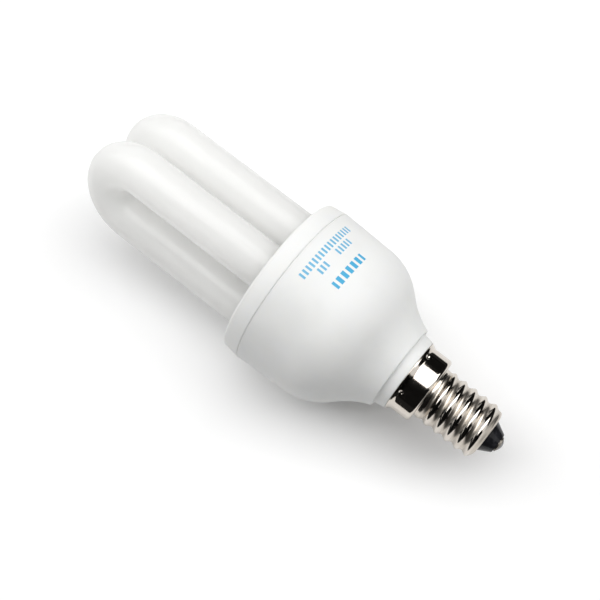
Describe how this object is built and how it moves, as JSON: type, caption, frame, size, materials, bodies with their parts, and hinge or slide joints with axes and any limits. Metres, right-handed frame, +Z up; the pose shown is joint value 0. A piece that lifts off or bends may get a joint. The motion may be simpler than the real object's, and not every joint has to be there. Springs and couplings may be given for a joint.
{
  "type": "compact fluorescent lamp",
  "caption": "Compact lamp with U shaped white glass tubes, a round plastic ballast housing and a small screw cap, lying on the barrel of its housing.",
  "frame": {"origin": "centre of the lamp's outline on the table that it lies on", "axes": "+X runs along the length from the glass towards the cap, +Y across, +Z up from the table; the lamp's own axis falls towards the cap by 2.5 degrees and its U bends are rolled 23.5 degrees from upright"},
  "size_m": [0.1162, 0.0418, 0.0419],
  "materials": {
    "tube_glass": "white powder coat inside clear glass",
    "holder_plastic": "satin",
    "housing_plastic": "satin",
    "cement": "matt",
    "cap_metal": "nickel plated, polished",
    "insulator_glass": "black, glossy",
    "contact_metal": "dull plated",
    "solder": "satin",
    "board": "pressed paper laminate",
    "capacitor_sleeve": "printed sleeve, bare",
    "ferrite": "matt",
    "bobbin": "moulded",
    "copper_wire": "enamelled",
    "film_dip": "dipped",
    "semiconductor": "moulded",
    "resistor_coat": "coated",
    "pin_metal": "tinned",
    "lead_wire": "plain",
    "wire_cover": "extruded"
  },
  "bodies": {
    "root": {"discharge_tube": "tube_glass", "tube_holder": "holder_plastic", "tube_cement": "cement", "ballast_housing": "housing_plastic", "cap_shell": "cap_metal", "cap_insulator": "insulator_glass", "centre_contact": "contact_metal", "contact_solder": "solder", "circuit_board": "board", "bulk_capacitor": "capacitor_sleeve", "choke_core": "ferrite", "choke_bobbin": "bobbin", "choke_winding": "copper_wire", "drive_ring_core": "ferrite", "drive_ring_windings": "copper_wire", "resonant_capacitor": "film_dip", "blocking_capacitor": "film_dip", "filter_coil": "ferrite", "upper_transistor": "semiconductor", "lower_transistor": "semiconductor", "rectifier_diodes": "semiconductor", "resistors": "resistor_coat", "trigger_diode": "resistor_coat", "wrap_pins": "pin_metal", "electrode_leads": "lead_wire", "live_wire": "wire_cover", "fuse_resistor": "resistor_coat", "neutral_wire": "wire_cover"}
  },
  "joints": []
}
